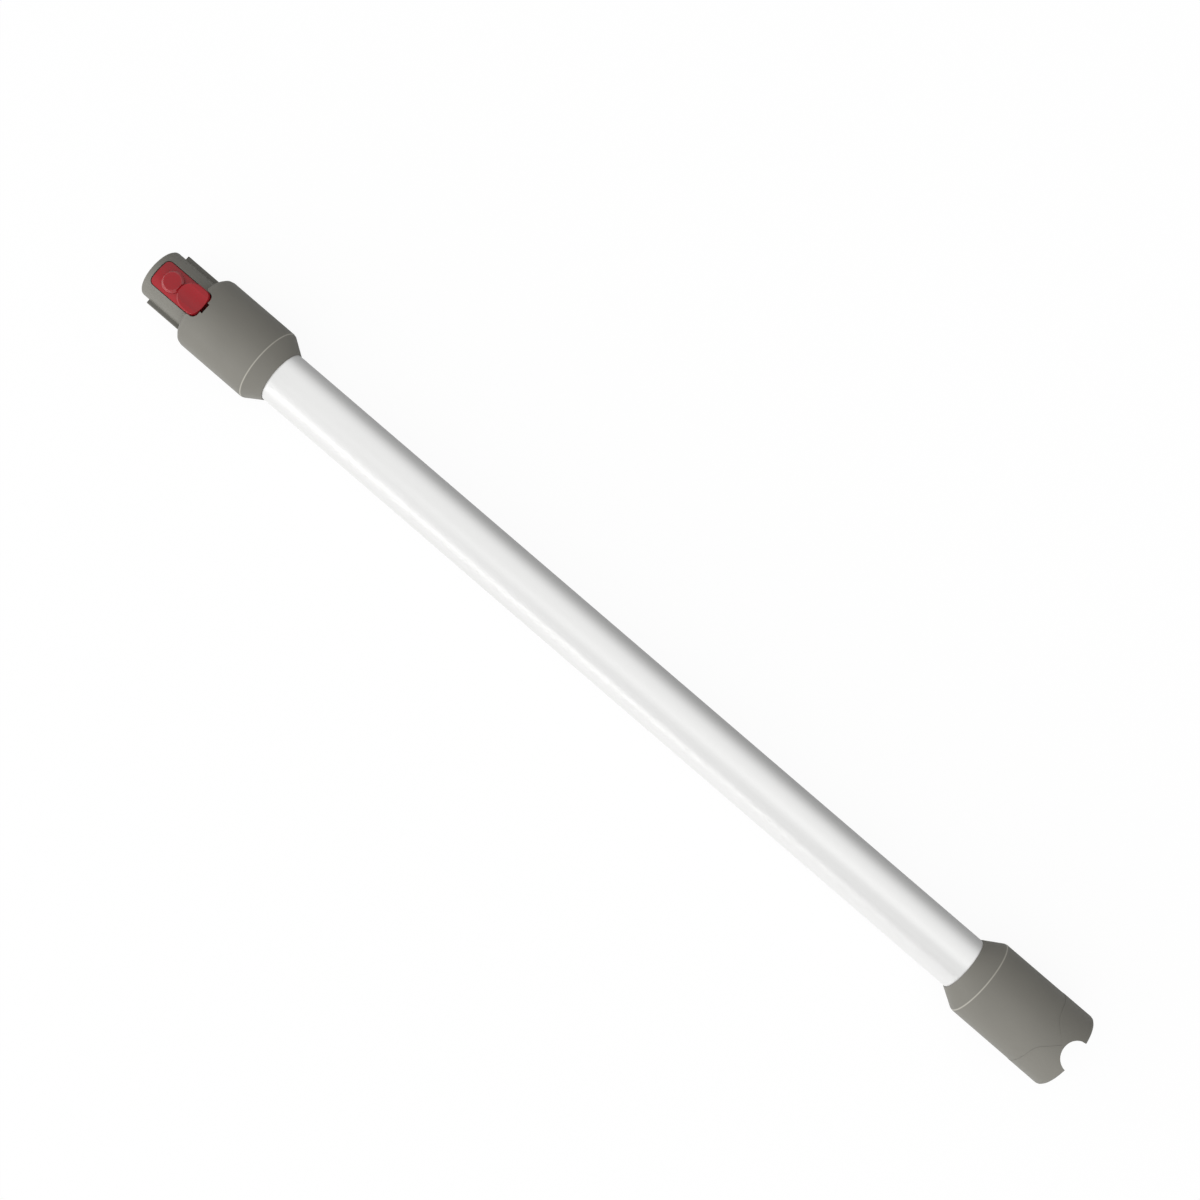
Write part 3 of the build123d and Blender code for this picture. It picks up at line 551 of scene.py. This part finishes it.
class WAND_OT_make_button(bpy.types.Operator):
    """Red release button with its round catch and dished thumb pad"""

    bl_idname = "wand.make_button"
    bl_label = "Make Button"

    def execute(self, context):
        settings = context.scene.wand
        button = smooth_copy("release_button", "red_button")
        spigot_top = AXIS_HEIGHT + SPIGOT_RADIUS
        foot = Vector((BUTTON_FRONT + settings.catch_inset, 0, spigot_top - CATCH_ROOT))
        cut(button, self.turn_disc(foot, settings.catch_radius + CATCH_FIT, 4 * CATCH_ROOT))
        catch = self.turn_disc(foot, settings.catch_radius, CATCH_ROOT + settings.catch_rise)
        self.round_rim(catch, settings.catch_edge)
        wall = self.turn_wall(Vector((COLLAR_FRONT - settings.pad_inset, 0, spigot_top - PAD_ROOT)),
                              settings.pad_radius - CATCH_FIT)
        pick(button)
        catch.select_set(True)
        wall.select_set(True)
        bpy.ops.object.join()
        stand_for(button, "release_button", glossy_red("button_red", settings))
        return {"FINISHED"}

    def turn_disc(self, foot, radius, height):
        """Upright disc on the point at its foot."""
        bpy.ops.object.select_all(action="DESELECT")
        bpy.ops.mesh.primitive_cylinder_add(
            vertices=DISC_SIDES, radius=radius, depth=height, location=foot + Vector((0, 0, height / 2)))
        bpy.ops.object.transform_apply(location=True, rotation=True, scale=True)
        return bpy.context.object

    def turn_wall(self, foot, radius):
        """Round wall under the thumb pad's front."""
        wall = self.turn_disc(foot, radius, PAD_HEIGHT)
        cut(wall, self.turn_disc(foot - Vector((0, 0, PAD_HEIGHT)), radius - PAD_WALL, 3 * PAD_HEIGHT))
        pick(wall)
        bpy.ops.object.shade_smooth_by_angle(angle=CREASE)
        return wall

    def round_rim(self, catch, edge):
        """Rounds the disc's upper rim and smooths it."""
        pick(catch)
        bpy.ops.object.mode_set(mode="EDIT")
        bpy.ops.mesh.select_mode(type="FACE")
        bpy.ops.mesh.select_all(action="DESELECT")
        bpy.ops.object.mode_set(mode="OBJECT")
        for face in catch.data.polygons:
            face.select = face.normal.z > 0.9
        bpy.ops.object.mode_set(mode="EDIT")
        bpy.ops.mesh.bevel(offset=edge, offset_type="OFFSET", segments=RIM_STEPS, profile=RIM_PROFILE)
        bpy.ops.object.mode_set(mode="OBJECT")
        bpy.ops.object.shade_smooth_by_angle(angle=CREASE)
        modify(catch, "WEIGHTED_NORMAL", keep_sharp=True, weight=100)


class WAND_OT_make_spring(bpy.types.Operator):
    """Coil spring that the thumb pad squeezes"""

    bl_idname = "wand.make_spring"
    bl_label = "Make Spring"

    def execute(self, context):
        spring = smooth_copy("button_spring", "coil_spring")
        stand_for(spring, "button_spring", plain_inner("spring_steel", colour("3c3c3c"), 0.5, 1.0))
        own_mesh(spring)
        return {"FINISHED"}


class WAND_OT_dress_inner_parts(bpy.types.Operator):
    """Finishes of the pieces inside the wand"""

    bl_idname = "wand.dress_inner_parts"
    bl_label = "Dress Inner Parts"

    def execute(self, context):
        finishes = {
            plain_inner("inner_black", colour("2b2b2b"), 0.55): ("plug_carrier", "socket_carrier", "wire_duct"),
            plain_inner("inner_rubber", colour("232323"), 0.75): (
                "upper_grommet", "lower_grommet", "upper_tube_seal", "lower_tube_seal", "socket_seal",
                "wire_return",
            ),
            plain_inner("lead_insulation", colour("8c1f22"), 0.6): ("wire_live",),
            plain_inner("pin_steel", colour("3c3c3c"), 0.5, 1.0): ("button_pivot_pin",),
            plain_inner("contact_brass", colour("cfa24a"), 0.3, 1.0): ("plug_pins", "socket_contacts"),
        }
        for material, nodes in finishes.items():
            for node in nodes:
                dress(NODES[node], material)
        return {"FINISHED"}


def area_light(name, place, target, size, power):
    """Soft rectangular lamp aimed at a point."""
    lamp = bpy.data.lights.new(name, "AREA")
    lamp.shape = "RECTANGLE"
    lamp.size, lamp.size_y = size
    lamp.energy = power
    holder = bpy.data.objects.new(name, lamp)
    holder.location = place
    holder.rotation_euler = (Vector(target) - Vector(place)).to_track_quat("-Z", "Y").to_euler()
    bpy.context.scene.collection.objects.link(holder)


class WAND_OT_set_stage(bpy.types.Operator):
    """Pale floor, soft light and the photo's camera"""

    bl_idname = "wand.set_stage"
    bl_label = "Set Stage"

    def execute(self, context):
        settings = context.scene.wand_stage
        self.lay_floor(settings)
        self.hang_lights(settings)
        self.wrap_sky(settings)
        self.place_camera(settings)
        context.scene.view_settings.view_transform = "Standard"
        return {"FINISHED"}

    def lay_floor(self, settings):
        """White floor that keeps a trace of the wand's shadow; as the pieces mirror it, it carries painted
        shade, grey on the far side of the wand.
        """
        bpy.ops.object.select_all(action="DESELECT")
        bpy.ops.mesh.primitive_plane_add(size=FLOOR_SIZE, location=(0, 0, CAD_BOX[0].z))
        floor = bpy.context.object
        floor.name = "pale_floor"
        finish = Finish("floor_white")
        finish.set(Base_Color=(0.9, 0.9, 0.9, 1), Roughness=0.9)
        mirrored = finish.math("MAXIMUM", finish.ray("Glossy"), finish.ray("Transmission"))
        # Painted shade: as the pieces mirror it, the floor's glow is grey on the far side of the wand.
        far = finish.ramp(finish.axis("Y"), -TUBE_RADIUS, TUBE_RADIUS) * mirrored
        seen = finish.ray("Camera") * settings.floor_glow
        share = finish.math("MAXIMUM", seen, mirrored * settings.floor_sheen)
        tone = finish.mix(far, (1, 1, 1, 1), (0.28, 0.28, 0.28, 1))
        glow = finish.node("ShaderNodeEmission", inputs={"Color": tone, "Strength": 1.0})
        body = Signal(finish, finish.shader.outputs[0])
        surface = finish.node("ShaderNodeMixShader", inputs={0: share, 1: body, 2: glow})
        finish.feed(finish.output.inputs["Surface"], surface)
        dress(floor, finish.material)

    def hang_lights(self, settings):
        """Long thin key from the near side, aimed at the button's end, and a soft light above."""
        area_light("key", KEY_PLACE, (COLLAR_FRONT, 0, AXIS_HEIGHT), KEY_SIZE, settings.key_power)
        area_light("top", TOP_PLACE, (0, 0, AXIS_HEIGHT), TOP_SIZE, settings.top_power)

    def wrap_sky(self, settings):
        """Plain light all round, stronger on the key's side, and white where it is seen."""
        world = bpy.data.worlds.new("studio")
        bpy.context.scene.world = world
        world.use_nodes = True
        graph = Graph(world.node_tree)
        direction = graph.node("ShaderNodeTexCoord", out="Generated")
        side = graph.node("ShaderNodeSeparateXYZ", inputs={0: direction}, out="Y")
        height = graph.node("ShaderNodeSeparateXYZ", inputs={0: direction}, out="Z")
        fall = (settings.sky_far - settings.sky_near) / 2
        light = side * fall + (settings.sky_near + settings.sky_far) / 2
        mirrored = graph.math("MAXIMUM", graph.ray("Glossy"), graph.ray("Transmission"))
        overhead = graph.ramp(height * 0.98 - side * 0.2, 0.86, 0.98)
        far_edge, near_edge = graph.ramp(side, 0.8, 1.0), graph.ramp(side, -0.7, -0.95)
        white = SKY_WHITE - far_edge * SKY_DIP - near_edge * SKY_DIP - overhead * SKY_DIP
        light = light * (1 - mirrored) + white * mirrored
        seen = graph.ray("Camera")
        sky = world.node_tree.nodes["Background"]
        graph.feed(sky.inputs["Color"], (1, 1, 1, 1))
        graph.feed(sky.inputs["Strength"], light * (1 - seen) + seen)

    def place_camera(self, settings):
        """Camera above the wand, as in the photo."""
        lens = bpy.data.cameras.new("photo_camera")
        lens.sensor_width = 36.0
        lens.lens = settings.lens
        camera = bpy.data.objects.new("photo_camera", lens)
        back = CAMERA_RIGHT.cross(CAMERA_UP).normalized()
        look = Matrix((CAMERA_RIGHT, CAMERA_UP, back)).transposed().to_4x4()
        above = Matrix.Translation(CAMERA_PLACE) @ look
        swing = Matrix.Rotation(settings.swing, 4, "X")
        camera.matrix_world = Matrix.Translation((0, 0, AXIS_HEIGHT)) @ swing @ above
        bpy.context.scene.collection.objects.link(camera)
        bpy.context.scene.camera = camera


class WAND_PT_panel(bpy.types.Panel):
    """Lists the wand's pieces and settings"""

    bl_label = "Extension Wand"
    bl_idname = "WAND_PT_panel"
    bl_space_type = "VIEW_3D"
    bl_region_type = "UI"
    bl_category = "Wand"

    def draw(self, context):
        for group in (context.scene.wand, context.scene.wand_stage):
            for name in group.__annotations__:
                self.layout.prop(group, name)
        for operator in STEPS:
            self.layout.operator(operator.bl_idname)


STEPS = (
    WAND_OT_make_collars,
    WAND_OT_make_tube,
    WAND_OT_make_button,
    WAND_OT_make_spring,
    WAND_OT_dress_inner_parts,
    WAND_OT_set_stage,
)
CLASSES = (WandSettings, StageSettings, *STEPS, WAND_PT_panel)


def register():
    for cls in CLASSES:
        bpy.utils.register_class(cls)
    bpy.types.Scene.wand = bpy.props.PointerProperty(type=WandSettings)
    bpy.types.Scene.wand_stage = bpy.props.PointerProperty(type=StageSettings)


def unregister():
    del bpy.types.Scene.wand_stage
    del bpy.types.Scene.wand
    for cls in reversed(CLASSES):
        bpy.utils.unregister_class(cls)


def main():
    register()
    for step in STEPS:
        group, name = step.bl_idname.split(".")
        getattr(getattr(bpy.ops, group), name)()


if __name__ == "__main__":
    main()
